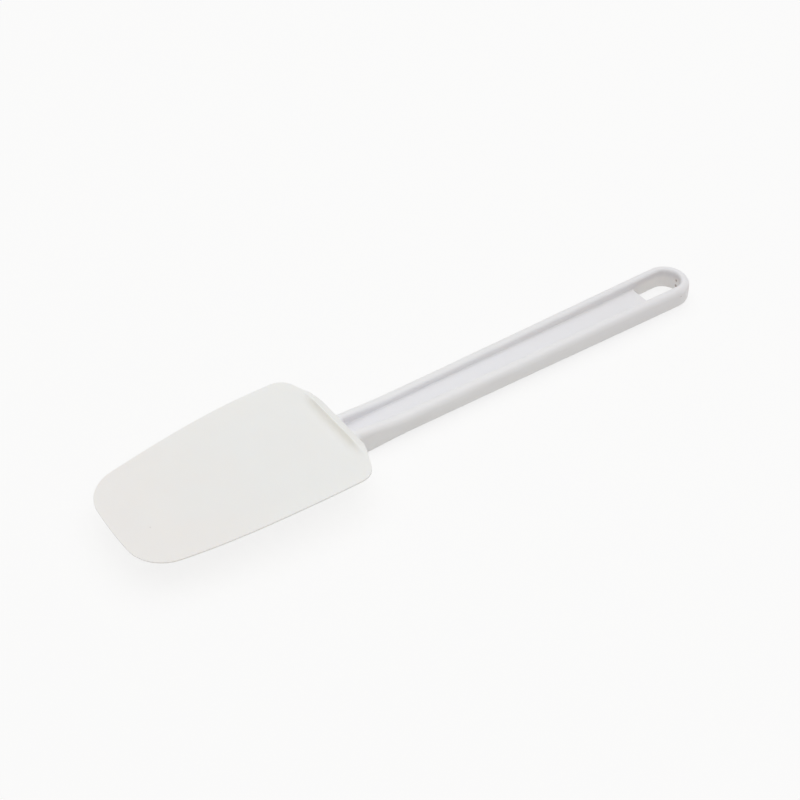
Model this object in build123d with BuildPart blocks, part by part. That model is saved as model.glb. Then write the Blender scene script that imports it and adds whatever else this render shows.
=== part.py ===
from build123d import *
import os

# Sizes in millimetres. The blade's tip points to -X, the hanging end to +X, and the scooping
# face looks up. Rises are measured from the handle's centreline, reaches from the blade's tip,
# and setbacks from the collar's edge, where the blade ends.

# Overall
overall_length = 254.0
blade_length = 91.5
overrun = 4.0

# Blade outline, seen from above
blade_width = 60.3
blade_tip_width = 44.8
widest_setback = 17.5
shoulder_setback = 6.7
tip_bulge = 1.5
tip_corner_radius = 15.0
shoulder_radius = 7.6
collar_width = 28.0
collar_corner_radius = 2.5

# Blade thickness, scoop and belly
rim_thickness = 0.7
tip_rim_rise = 7.5
shoulder_rim_rise = 9.6
rim_climb_reach = 8.0
rim_climb_setback = 23.5
scoop_depth = 2.0
scoop_tip_run_out = 5.0
scoop_collar_run_out = 9.5
belly_depth = 6.0
belly_width = 16.0
belly_setback = 14.5

# Ridge across the handle side of the face, and the collar that slopes down from it
ridge_setback = 3.9
ridge_rise = 10.6
ridge_radius = 2.1
ridge_land = 0.6
ridge_straight_width = 22.0
ridge_full_width = 48.0
collar_rise = 7.8

# Handle: a thick neck slims into the bar, which widens towards the hanging end
neck_width = 15.0
neck_thickness = 11.6
neck_length = 23.0
bar_width = 16.1
bar_thickness = 8.3
end_width = 18.8
end_thickness = 9.0
edge_radius = 2.4

# Recess in both faces, and the hanging hole
recess_end_wall = 1.8
neck_rail = 3.9
end_rail = 3.65
rail_inner_radius = 1.2
web_foot_radius = 0.5
web_root = 1.0
recess_corner_radius = 1.5
web_neck_thickness = 3.8
web_end_thickness = 1.8
hole_length = 18.2
hole_corner_radius = 1.1

# Tang of the handle, which the blade is pushed onto
tang_length = 43.0
tang_root_width = 11.0
tang_tip_width = 9.0
tang_top_rise = 2.2
tang_root_thickness = 4.8
tang_tip_thickness = 2.8
tang_corner_radius = 0.8
socket_clearance = 0.2

# Share of the bar's length past which it grows thicker
thicken_start_share = 0.35

# Shares of the flank's width and height that shape the curve from rim to belly
flank_out_share = 0.7
flank_drop_share = 0.1
flank_in_share = 0.33

# Numbers of steps between the sections that each form is drawn through
neck_steps = 6
bar_steps = 8
blade_steps = 10

# The frame is centred on the length and stands on the underside of the neck and the
# flat land of the belly, which are level
axis_height = neck_thickness / 2
tip_x = -overall_length / 2
collar_x = tip_x + blade_length
end_centre_x = overall_length / 2 - end_width / 2


def mix(start, finish, share):
    """Straight blend of two sizes."""
    return start + (finish - start) * share


def ease(share):
    """Smooth step from 0 to 1."""
    share = min(max(share, 0), 1)
    return share * share * (3 - 2 * share)


def across(x):
    """Section plane square to the handle: local x is +Y, local y is +Z from the centreline."""
    return Plane(origin=(x, 0, axis_height), x_dir=(0, 1, 0), z_dir=(1, 0, 0))


def along(y):
    """Section plane along the handle: local x is +X, local y is +Z from the centreline."""
    return Plane(origin=(0, y, axis_height), x_dir=(1, 0, 0), z_dir=(0, -1, 0))


# Handle
bar_length = end_centre_x - collar_x
neck_end_share = neck_length / bar_length
recess_start_x = collar_x + recess_end_wall
recess_length = end_centre_x - recess_start_x
recess_start_width = neck_width - 2 * neck_rail
hole_radius = end_width / 2 - end_rail
hole_start = recess_length + hole_radius - hole_length
hole_start_width = mix(recess_start_width, 2 * hole_radius, hole_start / recess_length)
web_length = hole_start + hole_corner_radius
web_end_x = recess_start_x + hole_start
opening_plane = Plane(origin=(recess_start_x, 0, axis_height))


def bar_section(share):
    """Rounded section of the bar at a share of its length from the collar."""
    neck = ease(1 - share / neck_end_share)
    growth = ease((share - thicken_start_share) / (1 - thicken_start_share))
    width = mix(bar_width, end_width, share) - (bar_width - neck_width) * neck
    thickness = mix(bar_thickness, end_thickness, growth) + (neck_thickness - bar_thickness) * neck
    with BuildSketch(across(mix(collar_x, end_centre_x, share))) as section:
        RectangleRounded(width, thickness, edge_radius)
    return section.sketch


def opening_outline(start, start_width, corner_radius):
    """Opening between the rails, from a square start to a half circle at the hanging end."""
    with BuildSketch(opening_plane) as outline:
        with BuildLine():
            near = Line((start, -start_width / 2), (recess_length, -hole_radius))
            curve = ThreePointArc(near @ 1, (recess_length + hole_radius, 0), (recess_length, hole_radius))
            far = Line(curve @ 1, (start, start_width / 2))
            Line(far @ 1, near @ 0)
        make_face()
        corners = outline.sketch_local.vertices().group_by(Axis.X)[0]
        fillet(corners, corner_radius)
    return outline.sketch


def tang_sections(clearance):
    """Both ends of the flat tapered tongue with a level top; its socket has a clearance."""
    sections = []
    root = (collar_x, tang_root_width, tang_root_thickness)
    tip = (collar_x - tang_length - clearance, tang_tip_width, tang_tip_thickness)
    for x, width, thickness in (root, tip):
        with BuildSketch(across(x)) as section:
            with Locations((0, tang_top_rise - thickness / 2)):
                RectangleRounded(width + 2 * clearance, thickness + 2 * clearance, tang_corner_radius)
        sections.append(section.sketch)
    return sections


# Web of the handle, rooted in the rails, thinner towards the hanging hole that ends it
with BuildPart() as web:
    foot_x = recess_start_x - web_root
    limit_x = recess_start_x + web_length
    thick = web_neck_thickness / 2
    thin = web_end_thickness / 2
    with BuildSketch(along(0)):
        Polygon((foot_x, -thick), (limit_x, -thin), (limit_x, thin), (foot_x, thick), align=None)
    extrude(amount=end_width / 2, both=True)
    foot_half = recess_start_width / 2 + web_root
    limit_half = mix(recess_start_width / 2, hole_radius, web_length / recess_length) + web_root
    foot_far = (-web_root, foot_half)
    limit_far = (web_length, limit_half)
    with BuildSketch(opening_plane):
        Polygon((-web_root, -foot_half), (web_length, -limit_half), limit_far, foot_far, align=None)
    extrude(amount=neck_thickness, both=True, mode=Mode.INTERSECT)
    hole = opening_outline(hole_start, hole_start_width, hole_corner_radius)
    extrude(hole, amount=neck_thickness, both=True, mode=Mode.SUBTRACT)

with BuildPart() as handle:
    neck_shares = [neck_end_share * step / neck_steps for step in range(neck_steps + 1)]
    bar_shares = [mix(neck_end_share, 1, step / bar_steps) for step in range(bar_steps + 1)]
    loft([bar_section(share) for share in neck_shares])
    loft([bar_section(share) for share in bar_shares])

    # Rounded hanging end
    with BuildSketch(across(end_centre_x)):
        RectangleRounded(end_width, end_thickness, edge_radius)
        Rectangle(end_width, end_thickness, align=(Align.MIN, Align.CENTER), mode=Mode.INTERSECT)
    revolve(axis=Axis((end_centre_x, 0, 0), (0, 0, -1)), revolution_arc=180)

    # Opening between the rails, with rounded rims
    opening = opening_outline(0, recess_start_width, recess_corner_radius)
    extrude(opening, amount=neck_thickness, both=True, mode=Mode.SUBTRACT)
    walls = handle.faces(Select.LAST).filter_by(lambda face: not round(face.normal_at().Z))
    fillet(walls.edges().filter_by(Axis.Z, reverse=True), rail_inner_radius)

    # Web that closes the opening up to the hanging hole, and thins towards it
    add(web)
    feet = handle.edges(Select.LAST).filter_by(Axis.Z, reverse=True)
    fillet(feet.filter_by(lambda edge: edge.center().X < web_end_x), web_foot_radius)

    loft(tang_sections(0))

# Blade
widest_reach = blade_length - widest_setback
shoulder_reach = blade_length - shoulder_setback
belly_reach = blade_length - belly_setback
rim_climb_length = blade_length - rim_climb_setback - rim_climb_reach
scoop_length = scoop_tip_run_out + blade_length + scoop_collar_run_out
scoop_reach = scoop_length / 2 - scoop_tip_run_out
ridge_x = collar_x - ridge_setback
slope_x = ridge_x + ridge_land
cut_x = collar_x + overrun
slope_low = mix(ridge_rise, collar_rise, (cut_x - slope_x) / (collar_x - slope_x))


def side_half_width(reach):
    """Half width of the blade at a reach from its tip, on a parabola through the widest place."""
    return blade_width / 2 - (blade_width - blade_tip_width) / 2 * (1 - reach / widest_reach) ** 2


def blade_section(reach):
    """Section of the blade: scooped face, thin rims, and flanks that swell into the belly."""
    rim = mix(tip_rim_rise, shoulder_rim_rise, ease((reach - rim_climb_reach) / rim_climb_length))
    half = side_half_width(reach) + rim_thickness / 2
    face = rim - scoop_depth * (1 - (2 * (reach - scoop_reach) / scoop_length) ** 2)
    under = rim - rim_thickness
    belly = mix(under, -belly_depth, ease(reach / belly_reach))
    inner = belly_width / 2
    out = mix(half, inner, flank_out_share)
    drop = mix(under, belly, flank_drop_share)
    near = mix(inner, half, flank_in_share)
    with BuildSketch(across(tip_x + reach)) as section:
        with BuildLine():
            ThreePointArc((-half, rim), (0, face), (half, rim))
            Line((half, rim), (half, under))
            Bezier((half, under), (out, drop), (near, belly), (inner, belly))
            Line((inner, belly), (-inner, belly))
            Bezier((-inner, belly), (-near, belly), (-out, drop), (-half, under))
            Line((-half, under), (-half, rim))
        make_face()
    return section.sketch


def ridge_section(y, rise, radius, low):
    """Section of the ridge: a hollow curve up from the face, then a level top."""
    foot_x = ridge_x - radius
    with BuildSketch(along(y)) as section:
        with BuildLine():
            RadiusArc((foot_x, rise - radius), (ridge_x, rise), radius)
            Polyline((ridge_x, rise), (cut_x, rise), (cut_x, low), (foot_x, low), (foot_x, rise - radius))
        make_face()
    return section.sketch


with BuildPart() as blade:
    blade_shares = [step / blade_steps for step in range(blade_steps + 1)]
    loft([blade_section(mix(-overrun, blade_length + overrun, share)) for share in blade_shares])

    # Ridge, at full height over its straight part and sinking into the face at both ends
    sunk_rise = shoulder_rim_rise - rim_thickness / 4
    sunk = (sunk_rise, rim_thickness / 2, sunk_rise - rim_thickness)
    full = (ridge_rise, ridge_radius, collar_rise / 2)
    ridge_sections = [
        ridge_section(-ridge_full_width / 2, *sunk),
        ridge_section(-ridge_straight_width / 2, *full),
        ridge_section(ridge_straight_width / 2, *full),
        ridge_section(ridge_full_width / 2, *sunk),
    ]
    loft(ridge_sections, ruled=True)

    # Slope from the ridge down to the collar's edge
    cut_rise = ridge_rise + overrun
    with BuildSketch(along(0)):
        Polygon(
            (slope_x, ridge_rise), (cut_x, slope_low), (cut_x, cut_rise), (slope_x, cut_rise), align=None
        )
    extrude(amount=blade_width, both=True, mode=Mode.SUBTRACT)

    # Outline seen from above, cut flat where the belly lies on the table
    with BuildSketch():
        with BuildLine():
            tip_half = side_half_width(0)
            shoulder_x = tip_x + shoulder_reach
            shoulder_half = side_half_width(shoulder_reach)
            side_middle = (tip_x + shoulder_reach / 2, side_half_width(shoulder_reach / 2))
            tip = ThreePointArc((tip_x + tip_bulge, -tip_half), (tip_x, 0), (tip_x + tip_bulge, tip_half))
            far = ThreePointArc(tip @ 1, side_middle, (shoulder_x, shoulder_half))
            collar_far = (collar_x, collar_width / 2)
            collar_near = (collar_x, -collar_width / 2)
            Polyline(far @ 1, collar_far, collar_near, (shoulder_x, -shoulder_half))
            ThreePointArc((shoulder_x, -shoulder_half), (side_middle[0], -side_middle[1]), tip @ 0)
        make_face()
        fillet(vertices().group_by(Axis.X)[0], tip_corner_radius)
        fillet(vertices().group_by(Axis.X)[-1], collar_corner_radius)
        for y in (shoulder_half, -shoulder_half):
            fillet(vertices().sort_by_distance((shoulder_x, y))[0], shoulder_radius)
    extrude(amount=axis_height + cut_rise, mode=Mode.INTERSECT)

    # Socket for the tang
    loft(tang_sections(socket_clearance), mode=Mode.SUBTRACT)

handle.part.label = "handle"
blade.part.label = "blade"

os.makedirs("parts", exist_ok=True)
export_step(handle.part, "parts/handle.step")
export_step(blade.part, "parts/blade.step")
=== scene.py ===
import bpy
import numpy as np
from mathutils import Matrix, Vector


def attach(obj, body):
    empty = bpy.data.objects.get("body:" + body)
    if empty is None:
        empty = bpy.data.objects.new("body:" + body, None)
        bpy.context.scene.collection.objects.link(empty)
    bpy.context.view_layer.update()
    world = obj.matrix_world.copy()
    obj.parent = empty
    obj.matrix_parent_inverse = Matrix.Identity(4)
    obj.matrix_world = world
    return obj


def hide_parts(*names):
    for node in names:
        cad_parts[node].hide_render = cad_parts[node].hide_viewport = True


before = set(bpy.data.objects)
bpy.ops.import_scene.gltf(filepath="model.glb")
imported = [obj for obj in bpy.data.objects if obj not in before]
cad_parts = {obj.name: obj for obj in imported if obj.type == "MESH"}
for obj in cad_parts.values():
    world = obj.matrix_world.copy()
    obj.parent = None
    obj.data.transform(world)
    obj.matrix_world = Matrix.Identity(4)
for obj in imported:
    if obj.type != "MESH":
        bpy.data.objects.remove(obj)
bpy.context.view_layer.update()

MM = 0.001

# Camera at the photograph's angle: degrees, metres, and millimetres of lens and sensor
AZIMUTH = -34.75
ELEVATION = 42.0
DISTANCE = 0.59118
SHIFT_LEFT_SHARE = 0.01495
SHIFT_UP_SHARE = 0.00729
LENS = 72.0
SENSOR_WIDTH = 36.0
NEAREST = 0.01
FARTHEST = 20.0


def place_camera():
    """The camera looks along the line of an azimuth and an elevation through the spatula's origin,
    moved off that line to the left and up by small shares of its distance."""
    azimuth, elevation = np.radians([AZIMUTH, ELEVATION])
    level = np.cos(elevation)
    back = np.array([np.sin(azimuth) * level, -np.cos(azimuth) * level, np.sin(elevation)])
    right = np.array([np.cos(azimuth), np.sin(azimuth), 0.0])
    up = np.cross(back, right)
    eye = DISTANCE * (back - SHIFT_LEFT_SHARE * right + SHIFT_UP_SHARE * up)
    data = bpy.data.cameras.new("camera")
    data.sensor_fit = "HORIZONTAL"
    data.sensor_width = SENSOR_WIDTH
    data.lens = LENS
    data.clip_start = NEAREST
    data.clip_end = FARTHEST
    camera = bpy.data.objects.new("camera", data)
    bpy.context.scene.collection.objects.link(camera)
    turn = Matrix(np.column_stack([right, up, back]).tolist()).to_4x4()
    camera.matrix_world = Matrix.Translation(Vector(eye)) @ turn
    bpy.context.scene.camera = camera


place_camera()


# Shape helpers
def mix(start, finish, share):
    """Straight blend of two values."""
    return start + (finish - start) * share


def ease(share):
    """Smooth step from 0 to 1: three times the square less twice the cube."""
    share = np.clip(share, 0, 1)
    return share * share * (3 - 2 * share)


def upper(a, b, softness):
    """The higher of two surfaces, with the crease between them rounded: half their sum plus half
    the root of their squared difference and the squared softness."""
    return (a + b + np.hypot(a - b, softness)) / 2


def lower(a, b, softness):
    """The lower of two surfaces, rounded in the same way with the root taken away."""
    return (a + b - np.hypot(a - b, softness)) / 2


def pulled_curve(shares, along):
    """A curve from the first share to the last that the two between them pull on, each weighted
    by its cubic in the place along the curve."""
    back = 1 - along
    start, pull_out, pull_in, finish = shares
    ends = start * back ** 3 + finish * along ** 3
    return ends + 3 * pull_out * back ** 2 * along + 3 * pull_in * back * along ** 2


def grid_faces(index):
    """Quads between neighbouring rows and columns of a grid of vertex numbers."""
    corners = [index[:-1, :-1], index[1:, :-1], index[1:, 1:], index[:-1, 1:]]
    return np.stack(corners, axis=-1).reshape(-1, 4)


def surface_object(name, points, quads, others, crease):
    """A smooth piece from its points in millimetres and its faces, sharp where two faces meet at
    more than the crease angle in degrees."""
    mesh = bpy.data.meshes.new(name)
    mesh.from_pydata(points * MM, [], quads.tolist() + others)
    mesh.validate()
    mesh.shade_smooth()
    mesh.set_sharp_from_angle(angle=np.radians(crease))
    made = bpy.data.objects.new(name, mesh)
    bpy.context.scene.collection.objects.link(made)
    return made


# Blade, in millimetres. Reaches are measured from its tip, rises from the axis of the tang
AXIS = 5.8
TIP = -127.0
COLLAR = -35.5
WIDTH = 60.3
TIP_WIDTH = 44.8
WIDEST_REACH = 74.0
SHOULDER_REACH = 84.8
COLLAR_WIDTH = 28.0
TIP_BULGE = 1.5
TIP_CORNER = 15.0
SHOULDER_CORNER = 7.6
COLLAR_CORNER = 2.5
EDGE_RADIUS = 0.15

# Radius of an arc so wide that it passes for straight
STRAIGHT = 50000.0

# Rim and scoop
TIP_RIM_RISE = 7.5
SHOULDER_RIM_RISE = 9.6
RIM_CLIMB_REACH = 8.0
RIM_CLIMB_LENGTH = 60.0
RIM_THICKNESS = 0.7
SCOOP_DEPTH = 2.0
SCOOP_MIDDLE_REACH = 48.0
SCOOP_LENGTH = 106.0

# Ridge across the face, and the slope from it down to the collar
RIDGE_TOP = -39.4
RIDGE_HEIGHT = 1.9
RIDGE_LENGTH = 4.6
RIDGE_POWER = 3.6
RIDGE_BLUR = 0.15
RIDGE_BLUR_STEPS = 7
RIDGE_STRAIGHT_HALF = 10.0
RIDGE_SINK = 12.0
SLOPE_START = -39.0
SLOPE_RISE = 10.6
COLLAR_RISE = 7.8
SLOPE_SOFTNESS = 0.15

# Belly under the blade, and the shares of the flank's width and height that pull its curve
BELLY_DEPTH = 6.0
BELLY_HALF = 8.0
BELLY_REACH = 77.0
FLANK_OUT_SHARES = (1, 0.3, 0.33, 0)
FLANK_HEIGHT_SHARES = (1, 0.9, 0, 0)
FLANK_STEPS = 400
LAND_SOFTNESS = 0.05

# Socket for the tang: its mouth in the collar, and its deep end
MOUTH_HALF = 5.7
MOUTH_TOP = 8.2
MOUTH_BOTTOM = 3.0
SOCKET_DEPTH = 43.2
SOCKET_END_HALF = 4.7
SOCKET_END_HEIGHT = 3.2
SOCKET_END_MIDDLE = 6.6

# Heights of the rings around the outline, where they pass the middle of the collar
RING_HEIGHTS = [10.9, MOUTH_TOP, 6.5, 4.8, MOUTH_BOTTOM, 1.6]

# Turn of the rings over a rounded edge
EDGE_TURN = np.radians([22.5, 45, 67.5, 90])

# Steps along each row of points, which lies across the blade, numbers of rows, and places where
# their spacing changes. The turn, in degrees, is where the rows start on the corner of the tip
ROW_STEPS = 96
FIRST_TURN = 45
CORNER_ROWS = 12
SIDE_ROWS = 70
BEFORE_RIDGE_ROWS = 16
RIDGE_START = -43.0
RIDGE_ROWS = 52
RIDGE_END = -38.4
SHOULDER_ROWS = 14
LAST_ROW_PLACES = [-35.64, -35.59, -35.549]

# Lengths over which the rows take the form of the two ends, and the angle of a sharp edge
TIP_FADE = 45.0
COLLAR_FADE_START = -38.5
CREASE = 40


def side_half_width(reach):
    """Half the blade's width, which grows from the tip to the widest place along a parabola."""
    return WIDTH / 2 - (WIDTH - TIP_WIDTH) / 2 * (1 - reach / WIDEST_REACH) ** 2


def rim_rise(reach):
    """Rise of the rim's upper edge, which climbs smoothly from the tip to the shoulder."""
    return mix(TIP_RIM_RISE, SHOULDER_RIM_RISE, ease((reach - RIM_CLIMB_REACH) / RIM_CLIMB_LENGTH))


def wide_circle(start, finish, radius):
    """Centre and radius of the circle through two points of the far side, bowed outwards: from
    their middle it goes square to the chord by the root of the squared radius less the squared
    half chord."""
    start, finish = np.array(start), np.array(finish)
    chord = finish - start
    length = np.hypot(*chord)
    inwards = np.array([chord[1], -chord[0]]) / length
    return (start + finish) / 2 + inwards * np.sqrt(radius ** 2 - (length / 2) ** 2), radius


def circle_through(start, middle, finish):
    """Centre and radius of the circle through three points: the radius is the product of the
    triangle's sides over four times its area."""
    start, middle, finish = np.array(start), np.array(middle), np.array(finish)
    first, second = middle - start, finish - middle
    doubled_area = abs(first[0] * second[1] - first[1] * second[0])
    sides = np.hypot(*first) * np.hypot(*second) * np.hypot(*(finish - start))
    return wide_circle(start, finish, sides / (2 * doubled_area))


def round_between(first, second, radius):
    """Centre and radius of a round that touches two wider circles from inside. The centre lies on
    circles about theirs whose radii are less by the round's, at the outer one of the two places
    where those meet."""
    start, reach = first[0], first[1] - radius
    gap = second[0] - start
    apart = np.hypot(*gap)
    along = (apart ** 2 + reach ** 2 - (second[1] - radius) ** 2) / (2 * apart)
    sideways = np.array([-gap[1], gap[0]]) / apart * np.sqrt(reach ** 2 - along ** 2)
    foot = start + gap * along / apart
    return max(foot + sideways, foot - sideways, key=lambda centre: centre[1]), radius


def touch(circle, round_off):
    """Place where a round touches a wider circle from inside."""
    outwards = round_off[0] - circle[0]
    return circle[0] + outwards / np.hypot(*outwards) * circle[1]


# Arcs of the outline, each as its centre and radius, and the rounds between them
TIP_POINTS = [(TIP + TIP_BULGE, -TIP_WIDTH / 2), (TIP, 0.0), (TIP + TIP_BULGE, TIP_WIDTH / 2)]
SHOULDER = (TIP + SHOULDER_REACH, side_half_width(SHOULDER_REACH))
HALFWAY = (TIP + SHOULDER_REACH / 2, side_half_width(SHOULDER_REACH / 2))
tip_arc = circle_through(*TIP_POINTS)
side_arc = circle_through(TIP_POINTS[-1], HALFWAY, SHOULDER)
shoulder_arc = wide_circle(SHOULDER, (COLLAR, COLLAR_WIDTH / 2), STRAIGHT)
collar_arc = (np.array([COLLAR - STRAIGHT, 0.0]), STRAIGHT)
tip_round = round_between(tip_arc, side_arc, TIP_CORNER)
shoulder_round = round_between(side_arc, shoulder_arc, SHOULDER_CORNER)
collar_round = round_between(shoulder_arc, collar_arc, COLLAR_CORNER)

# The far side from the tip to the collar: where each stretch ends along the blade, and its circle
FAR_SIDE = [
    (touch(side_arc, tip_round)[0], tip_round),
    (touch(side_arc, shoulder_round)[0], side_arc),
    (touch(shoulder_arc, shoulder_round)[0], shoulder_round),
    (touch(shoulder_arc, collar_round)[0], shoulder_arc),
    (COLLAR, collar_round),
]
SIDE_ENDS = np.array([end for end, circle in FAR_SIDE])
SIDE_CENTRES = np.array([circle[0] for end, circle in FAR_SIDE])
SIDE_RADII = np.array([circle[1] for end, circle in FAR_SIDE])


def side_outline(x):
    """Points and outward normals of the far side: on each arc, the half width is the centre's plus
    the root of the squared radius less the squared distance along the blade."""
    stretch = np.minimum(np.searchsorted(SIDE_ENDS, x), len(SIDE_ENDS) - 1)
    centre = SIDE_CENTRES[stretch]
    radius = SIDE_RADII[stretch]
    y = centre[:, 1] + np.sqrt(radius ** 2 - (x - centre[:, 0]) ** 2)
    points = np.column_stack([x, y])
    return points, (points - centre) / radius[:, None]


def end_outline(y, arc, corner, sign):
    """Points and outward normals of the tip or the collar: a wide arc up to the place where the
    round of the corner touches it, then the round, both by the same root as the side's."""
    wide = np.abs(y) <= touch(arc, corner)[1]
    centre_x = np.where(wide, arc[0][0], corner[0][0])
    centre_y = np.where(wide, 0, np.sign(y) * corner[0][1])
    radius = np.where(wide, arc[1], corner[1])
    x = centre_x + sign * np.sqrt(radius ** 2 - (y - centre_y) ** 2)
    points = np.column_stack([x, y])
    return points, (points - np.column_stack([centre_x, centre_y])) / radius[:, None]


def face_height(x, y):
    """Height of the scooping face: the rim less a scoop that is deepest halfway along and in the
    middle, by a parabola each way. Before the collar a ridge rises out of it in a power curve and
    sinks back at both ends, and the slope of the collar takes it down again. The curve's foot is
    blurred by the mean of a few curves side by side."""
    reach = x - TIP
    from_middle = 2 * (reach - SCOOP_MIDDLE_REACH) / SCOOP_LENGTH
    scoop = SCOOP_DEPTH * (1 - from_middle ** 2)
    half = side_half_width(reach) + RIM_THICKNESS / 2
    face = rim_rise(reach) - scoop * (1 - (y / half) ** 2)
    blur = np.linspace(-RIDGE_BLUR, RIDGE_BLUR, RIDGE_BLUR_STEPS)
    before = np.clip((RIDGE_TOP - x[..., None] + blur) / RIDGE_LENGTH, 0, 1)
    climb = ((1 - before) ** RIDGE_POWER).mean(axis=-1)
    ridge = RIDGE_HEIGHT * climb * (1 - ease((np.abs(y) - RIDGE_STRAIGHT_HALF) / RIDGE_SINK))
    slope = mix(SLOPE_RISE, COLLAR_RISE, (x - SLOPE_START) / (COLLAR - SLOPE_START))
    return AXIS + lower(face + ridge, slope, SLOPE_SOFTNESS)


def under_height(x, y):
    """Height of the underside: a flank that leaves the rim almost level and swells along a pulled
    curve into the belly, which deepens towards the collar and is cut flat where it lies on the
    table."""
    reach = x - TIP
    under = rim_rise(reach) - RIM_THICKNESS
    half = side_half_width(reach) + RIM_THICKNESS / 2
    along = np.linspace(0, 1, FLANK_STEPS)
    outward = pulled_curve(FLANK_OUT_SHARES, along)
    height = pulled_curve(FLANK_HEIGHT_SHARES, along)
    share = np.clip((np.abs(y) - BELLY_HALF) / (half - BELLY_HALF), 0, 1)
    belly = mix(under, -BELLY_DEPTH, ease(reach / BELLY_REACH))
    flank = mix(belly, under, np.interp(share, outward[::-1], height[::-1]))
    return upper(AXIS + flank, 0, LAND_SOFTNESS)


def row_places():
    """Places of the rows along the blade: equal angles on the tip's corner, then equal steps along
    each stretch, which are shorter at the ridge, and a few on the collar's small round."""
    corner_x = tip_round[0][0]
    last_turn = np.degrees(np.arccos((corner_x - SIDE_ENDS[0]) / TIP_CORNER))
    turn = np.radians(np.linspace(FIRST_TURN, last_turn, CORNER_ROWS))
    bounds = [SIDE_ENDS[0], SIDE_ENDS[1], RIDGE_START, RIDGE_END, SIDE_ENDS[3]]
    counts = [SIDE_ROWS, BEFORE_RIDGE_ROWS, RIDGE_ROWS, SHOULDER_ROWS]
    stretches = [
        np.linspace(start, finish, count)[1:]
        for start, finish, count in zip(bounds, bounds[1:], counts)
    ]
    return np.concatenate([corner_x - TIP_CORNER * np.cos(turn), *stretches, LAST_ROW_PLACES])


def blade_plan():
    """Plan of the two faces inside their rounded edge, as a patch stretched between the tip, the
    sides and the collar: each place is the side's, shifted by the bow of the end that is near and
    scaled across by the place's share of the width. The outward normals come with it."""
    x = row_places()
    side, side_out = side_outline(x)
    mouth_share = MOUTH_HALF / side[-1, 1]
    across = np.linspace(-1, 1, ROW_STEPS + 1)
    across = np.unique(np.append(across, [-mouth_share, mouth_share]))
    tip, tip_out = end_outline(across * side[0, 1], tip_arc, tip_round, -1)
    collar, collar_out = end_outline(across * side[-1, 1], collar_arc, collar_round, 1)
    side = side - EDGE_RADIUS * side_out
    tip = tip - EDGE_RADIUS * tip_out
    collar = collar - EDGE_RADIUS * collar_out
    fade_tip = 1 - ease((x - x[0]) / TIP_FADE)[:, None]
    fade_collar = ease((x - COLLAR_FADE_START) / (x[-1] - COLLAR_FADE_START))[:, None]
    tip_bow = fade_tip * (tip[:, 0] - tip[-1, 0])
    collar_bow = fade_collar * (collar[:, 0] - collar[-1, 0])
    plan_x = side[:, :1] + tip_bow + collar_bow
    plan_y = side[:, 1:] * mix(tip[:, 1] / tip[-1, 1], collar[:, 1] / collar[-1, 1], fade_collar)
    out = np.zeros((*plan_x.shape, 2))
    out[0], out[-1] = tip_out, collar_out
    out[:, -1] = side_out
    out[:, 0] = side_out * (1, -1)
    return plan_x, plan_y, out


def outline_rings(edge, out, top, bottom):
    """Rings that turn over the upper edge by a quarter circle, go down the side by shares of its
    height and turn under the lower edge."""
    middle = np.argmin(np.abs(edge[:, 1]) - edge[:, 0])
    high, low = top[middle] - EDGE_RADIUS, bottom[middle] + EDGE_RADIUS
    levels = (high - np.array(RING_HEIGHTS)) / (high - low)
    sides = np.ones(len(levels))
    turn_out, turn_down = np.sin(EDGE_TURN), 1 - np.cos(EDGE_TURN)
    outward = np.concatenate([turn_out, sides, turn_out[::-1]])[:, None]
    turned = np.concatenate([turn_down, sides, turn_down[::-1]])[:, None]
    down = np.concatenate([np.zeros(len(turn_down)), levels, np.ones(len(turn_down))])[:, None]
    plan = edge + EDGE_RADIUS * outward[..., None] * out
    height = mix(top - EDGE_RADIUS * turned, bottom + EDGE_RADIUS * turned, down)
    return np.concatenate([plan, height[..., None]], axis=-1)


def socket_end(mouth):
    """Deep end of the socket: the mouth's points carried in along the blade, with their distances
    from its middle scaled to the smaller end."""
    width_share = SOCKET_END_HALF / MOUTH_HALF
    height_share = SOCKET_END_HEIGHT / (MOUTH_TOP - MOUTH_BOTTOM)
    x = np.full(len(mouth), COLLAR - SOCKET_DEPTH)
    z = SOCKET_END_MIDDLE + (mouth[:, 2] - (MOUTH_TOP + MOUTH_BOTTOM) / 2) * height_share
    return np.column_stack([x, mouth[:, 1] * width_share, z])


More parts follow.
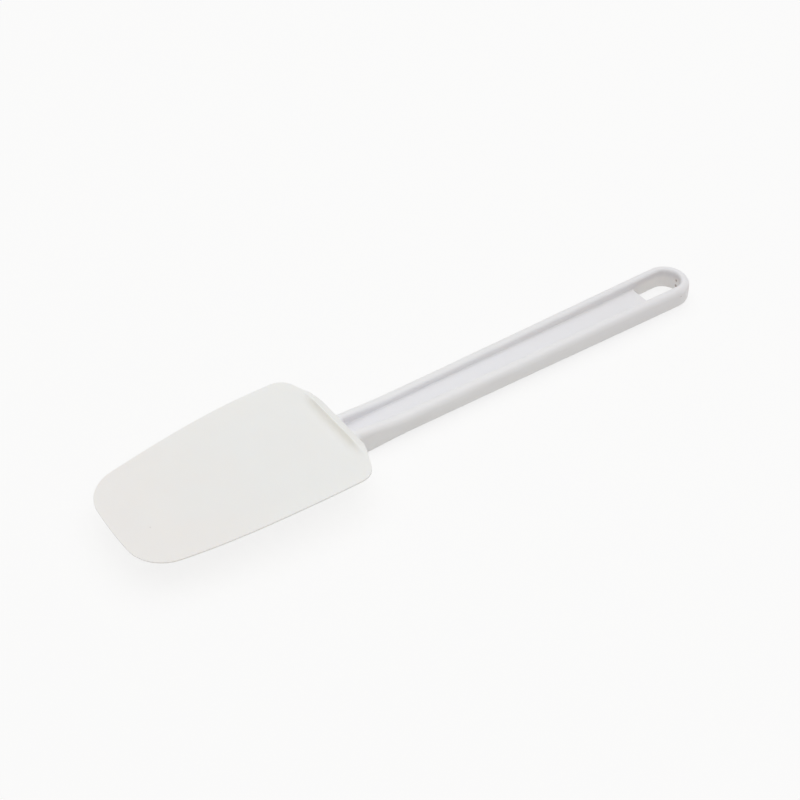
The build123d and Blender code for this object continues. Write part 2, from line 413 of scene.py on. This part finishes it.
def blade_piece():
    """The blade as one closed surface: two faces on one plan, rings around the outline that join
    them, and a tapered tube for the socket, which starts at a gap in the collar's rings."""
    plan_x, plan_y, out = blade_plan()
    rows, columns = plan_x.shape
    count = rows * columns
    plan = np.column_stack([plan_x.ravel(), plan_y.ravel()])
    top = face_height(plan_x, plan_y).ravel()
    bottom = under_height(plan_x, plan_y).ravel()

    # Loop around the plan: the near side, the collar, the far side and the tip
    number = np.arange(count).reshape(rows, columns)
    loop = [number[:-1, 0], number[-1, :-1], number[:0:-1, -1], number[0, :0:-1]]
    loop = np.concatenate(loop)
    rings = outline_rings(plan[loop], out.reshape(-1, 2)[loop], top[loop], bottom[loop])
    ring_number = 2 * count + np.arange(len(rings) * len(loop)).reshape(len(rings), len(loop))
    band = np.vstack([loop, ring_number, loop + count])

    # Gap for the socket's mouth. The band starts with the loop, the turn over the edge follows,
    # and then come the rings down the side
    first = rows - 1 + np.argmin(np.abs(plan_y[-1] + MOUTH_HALF))
    last = rows - 1 + np.argmin(np.abs(plan_y[-1] - MOUTH_HALF))
    high = 1 + len(EDGE_TURN) + RING_HEIGHTS.index(MOUTH_TOP)
    low = 1 + len(EDGE_TURN) + RING_HEIGHTS.index(MOUTH_BOTTOM)
    kept = np.ones((len(band) - 1, len(loop)), bool)
    kept[high:low, first:last] = False
    closed = np.column_stack([band, band[:, 0]])
    band_faces = grid_faces(closed).reshape(len(band) - 1, len(loop), 4)[kept]
    above, far_end = band[high, first:last], band[high:low, last]
    below, near_end = band[low, last:first:-1], band[low:high:-1, first]
    mouth = np.concatenate([above, far_end, below, near_end])

    # All points in the order of their numbers, and the faces turned outwards
    top_points, bottom_points = np.column_stack([plan, top]), np.column_stack([plan, bottom])
    points = np.concatenate([top_points, bottom_points, rings.reshape(-1, 3)])
    tube = np.vstack([mouth, len(points) + np.arange(len(mouth))])
    tube_faces = grid_faces(np.column_stack([tube, tube[:, 0]]))
    points = np.concatenate([points, socket_end(points[mouth])])
    bottom_faces = grid_faces(number + count)[:, ::-1]
    quads = [grid_faces(number), bottom_faces, band_faces[:, ::-1], tube_faces]
    return surface_object("blade_form", points, np.concatenate(quads), [tube[1].tolist()], CREASE)


# Materials
class NodeWork:
    """A node tree. Each call adds a node, sets or links its inputs, and returns it or its output."""

    def __init__(self, tree):
        self.tree = tree

    def add(self, kind, settings, inputs):
        """A node of a kind, with its settings and inputs."""
        node = self.tree.nodes.new("ShaderNode" + kind)
        for name, value in settings.items():
            setattr(node, name, value)
        self.feed(node, inputs)
        return node

    def feed(self, node, inputs):
        """Sets inputs that are given as values, and links those that are given as outputs."""
        for name, value in inputs.items():
            if isinstance(value, bpy.types.NodeSocket):
                self.tree.links.new(value, node.inputs[name])
            else:
                node.inputs[name].default_value = value

    def place(self):
        """Place on the object, in metres."""
        return self.add("TexCoord", {}, {}).outputs["Object"]

    def noise(self, place, scale, detail):
        """Cloudy noise around one half."""
        made = self.add("TexNoise", {}, {"Scale": scale, "Detail": detail, "Vector": place})
        return made.outputs["Fac"]

    def spread(self, value, low, high, start, finish):
        """A value between low and high, spread smoothly from start to finish."""
        settings = {"interpolation_type": "SMOOTHSTEP"}
        inputs = {"Value": value, "From Min": low, "From Max": high, "To Min": start, "To Max": finish}
        return self.add("MapRange", settings, inputs).outputs["Result"]

    def fade(self, length, low, high, start, finish):
        """The same for a length between two that are given in millimetres."""
        return self.spread(length, low * MM, high * MM, start, finish)

    def math(self, operation, a, b=0.0):
        """One sum of two values, or of one where the operation needs no other."""
        return self.add("Math", {"operation": operation}, {0: a, 1: b}).outputs[0]

    def distance(self, place, spot):
        """Distance from a spot that is given in millimetres."""
        metres = [coordinate * MM for coordinate in spot]
        made = self.add("VectorMath", {"operation": "DISTANCE"}, {0: place, 1: metres})
        return made.outputs["Value"]

    def tint(self, share, a, b):
        """A colour between two."""
        return self.add("Mix", {"data_type": "RGBA"}, {0: share, 6: a, 7: b}).outputs[2]

    def seen(self):
        """One where a ray comes from the camera, a glossy surface or a clear one, and else none."""
        ray = self.add("LightPath", {}, {})
        direct = self.math("MAXIMUM", ray.outputs["Is Camera Ray"], ray.outputs["Is Glossy Ray"])
        return self.math("MAXIMUM", direct, ray.outputs["Is Transmission Ray"])


class Paint(NodeWork):
    """A material's node tree, with its shader."""

    def __init__(self, name):
        self.material = bpy.data.materials.new(name)
        self.material.use_nodes = True
        super().__init__(self.material.node_tree)
        self.shader = self.tree.nodes["Principled BSDF"]

    def relief(self, height, depth):
        """Fine bumps of a depth in metres."""
        inputs = {"Height": height, "Distance": depth, "Strength": 1.0}
        self.feed(self.shader, {"Normal": self.add("Bump", {}, inputs).outputs["Normal"]})


# Silicone: colours, painted shade among them, shares of them, and where they change, in millimetres
RUBBER = (0.929, 0.922, 0.891, 1)
# Painted shade: a warmer, slightly darker tint that stands in for warmer light on the tip side
TIP_SHADE_RUBBER = (0.935, 0.902, 0.863, 1)
# Painted shade: yellowish, slightly darker colour for the shaded hollow of the ridge
HOLLOW_SHADE_RUBBER = (0.924, 0.904, 0.84, 1)
SPECK = (0.55, 0.53, 0.5, 1)
MOTTLE_SHARE = 0.18
SPECK_SHARE = 0.3
SPECKLESS_SHARE = 0.8
TIP_SHADE_END = -60.0
# Where the painted shade in the ridge's hollow starts, deepens and ends, and how wide it is
HOLLOW_START = -42.5
HOLLOW_DEEP = -39.8
HOLLOW_END = -39.3
HOLLOW_FULL_HALF = 11.0
HOLLOW_LAST_HALF = 21.0


def silicone():
    """Off-white rubber with a soft mottle and a few tiny specks, and painted shade: warmer and a
    little darker towards the tip, and yellower in the hollow of the ridge."""
    paint = Paint("blade_silicone")
    place = paint.place()
    parts = paint.add("SeparateXYZ", {}, {0: place}).outputs
    along = parts["X"]
    cloud = paint.noise(place, scale=45, detail=3)
    mottle = paint.spread(cloud, low=0.35, high=0.65, start=-MOTTLE_SHARE, finish=MOTTLE_SHARE)
    # Painted shade: warmer and a little darker towards the tip, added to a random mottle
    tip_shade_and_mottle = paint.math("ADD", paint.fade(along, TIP, TIP_SHADE_END, 1, 0), mottle)
    body = paint.tint(tip_shade_and_mottle, RUBBER, TIP_SHADE_RUBBER)

    # Painted shade: yellowish shade in the hollow of the ridge
    before = paint.math("LESS_THAN", along, HOLLOW_END * MM)
    hollow_shade = paint.math("MULTIPLY", paint.fade(along, HOLLOW_START, HOLLOW_DEEP, 0, 1), before)
    sideways = paint.math("ABSOLUTE", parts["Y"])
    middle = paint.fade(sideways, HOLLOW_FULL_HALF, HOLLOW_LAST_HALF, 1, 0)
    body = paint.tint(paint.math("MULTIPLY", hollow_shade, middle), body, HOLLOW_SHADE_RUBBER)

    # Specks: the middles of a few cells
    cells = paint.add("TexVoronoi", {"voronoi_dimensions": "2D"}, {"Scale": 70.0, "Vector": place})
    picked = paint.add("SeparateColor", {}, {0: cells.outputs["Color"]}).outputs["Red"]
    near = paint.spread(cells.outputs["Distance"], low=0.012, high=0.03, start=1, finish=0)
    speck = paint.math("MULTIPLY", near, paint.math("GREATER_THAN", picked, SPECKLESS_SHARE))
    colour = paint.tint(paint.math("MULTIPLY", speck, SPECK_SHARE), body, SPECK)

    grain = paint.noise(place, scale=160, detail=2)
    rough = paint.spread(grain, low=0.3, high=0.7, start=0.55, finish=0.68)
    paint.feed(paint.shader, {"Base Color": colour, "Roughness": rough})
    paint.feed(paint.shader, {"IOR": 1.41, "Subsurface Weight": 0.15, "Subsurface Scale": 0.0008})
    paint.feed(paint.shader, {"Subsurface Radius": (1.0, 0.9, 0.75)})
    paint.relief(paint.noise(place, scale=1400, detail=2), depth=0.00001)
    return paint.material


# Plastic: colours, shares of them, and where each starts and ends, in millimetres
GREYER_PLASTIC = (0.852, 0.84, 0.836, 1)
WHITER_PLASTIC = (0.868, 0.859, 0.856, 1)
WEB_PLASTIC = (0.852, 0.843, 0.857, 1)
END_PLASTIC = (0.828, 0.812, 0.818, 1)
# Painted light: a paler colour that lightens the shaded wall of the hanging hole
HOLE_LIGHT_PLASTIC = (0.95, 0.925, 0.915, 1)
GATE_STAIN = (0.42, 0.33, 0.31, 1)
FLOW_NARROWING = (1, 5, 5)
END_SHARE = 0.8
WEB_HALVES = (3.5, 5.5)
END_PLACES = (20.0, 115.0)
HOLE_STARTS = (104.5, 107.0)
HOLE_HALVES = (5.6, 6.3)
HOLE_HEIGHTS = (6.0, 8.5)
HOLE_ENDS = (123.4, 124.2)

# Marks that the moulding gate leaves at the hanging end: place and radius
GATE_MARKS = [
    ((123.35, -0.2, 6.8), 0.7),
    ((123.35, -0.4, 4.3), 0.9),
    ((117.5, -9.4, 7.3), 0.35),
]
GATE_CORE_SHARE = 0.4
GATE_SHARE = 0.75


def plastic():
    """White moulded plastic with a satin skin that varies a little along the flow. It is a trace bluer
    on the web and greyer towards the hanging end, which has small dull marks, and painted light makes
    the wall around the hole paler."""
    paint = Paint("handle_plastic")
    place = paint.place()
    narrow = paint.add("VectorMath", {"operation": "MULTIPLY"}, {0: place, 1: FLOW_NARROWING})
    streaks = paint.noise(narrow.outputs[0], scale=40, detail=3)
    flow = paint.spread(streaks, low=0.3, high=0.7, start=0, finish=1)
    colour = paint.tint(flow, GREYER_PLASTIC, WHITER_PLASTIC)
    parts = paint.add("SeparateXYZ", {}, {0: place}).outputs
    sideways = paint.math("ABSOLUTE", parts["Y"])
    colour = paint.tint(paint.fade(sideways, *WEB_HALVES, 1, 0), colour, WEB_PLASTIC)
    colour = paint.tint(paint.fade(parts["X"], *END_PLACES, 0, END_SHARE), colour, END_PLASTIC)

    # Painted light: the wall around the hanging hole, below the rounded rim, is made paler
    started = paint.fade(parts["X"], *HOLE_STARTS, 0, 1)
    hole_light = paint.math("MULTIPLY", started, paint.fade(sideways, *HOLE_HALVES, 1, 0))
    hole_light = paint.math("MULTIPLY", hole_light, paint.fade(parts["X"], *HOLE_ENDS, 1, 0))
    hole_light = paint.math("MULTIPLY", hole_light, paint.fade(parts["Z"], *HOLE_HEIGHTS, 1, 0))
    colour = paint.tint(hole_light, colour, HOLE_LIGHT_PLASTIC)

    for spot, radius in GATE_MARKS:
        away = paint.distance(place, spot)
        mark = paint.fade(away, radius * GATE_CORE_SHARE, radius, GATE_SHARE, 0)
        colour = paint.tint(mark, colour, GATE_STAIN)
    grain = paint.noise(place, scale=220, detail=2)
    rough = paint.spread(grain, low=0.3, high=0.7, start=0.38, finish=0.5)
    paint.feed(paint.shader, {"Base Color": colour, "Roughness": rough})
    paint.feed(paint.shader, {"IOR": 1.5, "Subsurface Weight": 0.5, "Subsurface Scale": 0.0025})
    paint.feed(paint.shader, {"Subsurface Radius": (1.0, 0.95, 0.9)})
    paint.relief(paint.noise(place, scale=900, detail=2), depth=0.000008)
    return paint.material


blade = blade_piece()
blade.data.materials.append(silicone())
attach(blade, "blade")
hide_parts("blade")

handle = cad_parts["handle"]
handle.data.materials.clear()
handle.data.materials.append(plastic())

# Table, backdrop and light, in metres
TABLE_HALF = 3.0
TABLE_DROP = 0.00002
TABLE_WHITE = (0.94, 0.925, 0.9, 1)
TABLE_GLOW_SHARE = 0.8
BACKDROP_WHITE = (1, 1, 1, 1)
ROOM_LIGHT = 0.45
COOL_LIGHT = (0.965, 0.98, 1.0)


def white_table():
    """Matt table. Where it is seen it shines with most of the backdrop's white, so its shadow is
    faint."""
    paint = Paint("table_white")
    finish = {"Base Color": TABLE_WHITE, "Roughness": 0.9, "Specular IOR Level": 0.1}
    paint.feed(paint.shader, finish)
    glow = paint.add("Emission", {}, {"Color": BACKDROP_WHITE, "Strength": 1.0}).outputs[0]
    share = paint.math("MULTIPLY", paint.seen(), TABLE_GLOW_SHARE)
    both = paint.add("MixShader", {}, {0: share, 1: paint.shader.outputs[0], 2: glow}).outputs[0]
    paint.feed(paint.tree.nodes["Material Output"], {"Surface": both})
    return paint.material


def table_top():
    """A wide square just under the spatula."""
    corners = [(x * TABLE_HALF, y * TABLE_HALF, 0) for x, y in [(-1, -1), (1, -1), (1, 1), (-1, 1)]]
    mesh = bpy.data.meshes.new("table_top")
    mesh.from_pydata(corners, [], [(0, 1, 2, 3)])
    mesh.materials.append(white_table())
    plane = bpy.data.objects.new("table_top", mesh)
    bpy.context.scene.collection.objects.link(plane)
    plane.location.z = -TABLE_DROP


def studio():
    """Soft light from all around, which looks plain white where it is seen or mirrored."""
    world = bpy.data.worlds.new("studio")
    bpy.context.scene.world = world
    world.use_nodes = True
    room = NodeWork(world.node_tree)
    light = room.tree.nodes["Background"]
    room.feed(light, {"Color": BACKDROP_WHITE, "Strength": ROOM_LIGHT})
    white = room.add("Background", {}, {"Color": BACKDROP_WHITE, "Strength": 1.0})
    both = {0: room.seen(), 1: light.outputs[0], 2: white.outputs[0]}
    surface = room.add("MixShader", {}, both).outputs[0]
    room.feed(room.tree.nodes["World Output"], {"Surface": surface})


def lamp(name, place, width, power):
    """A square lamp that faces the spatula."""
    data = bpy.data.lights.new(name, "AREA")
    data.shape = "SQUARE"
    data.size = width
    data.energy = power
    data.color = COOL_LIGHT
    made = bpy.data.objects.new(name, data)
    bpy.context.scene.collection.objects.link(made)
    made.location = place
    made.rotation_euler = (-Vector(place)).to_track_quat("-Z", "Y").to_euler()


table_top()
studio()
lamp("overhead", place=(0.15, 0.05, 1.4), width=2.2, power=15.0)

bpy.context.scene.view_settings.view_transform = "Standard"
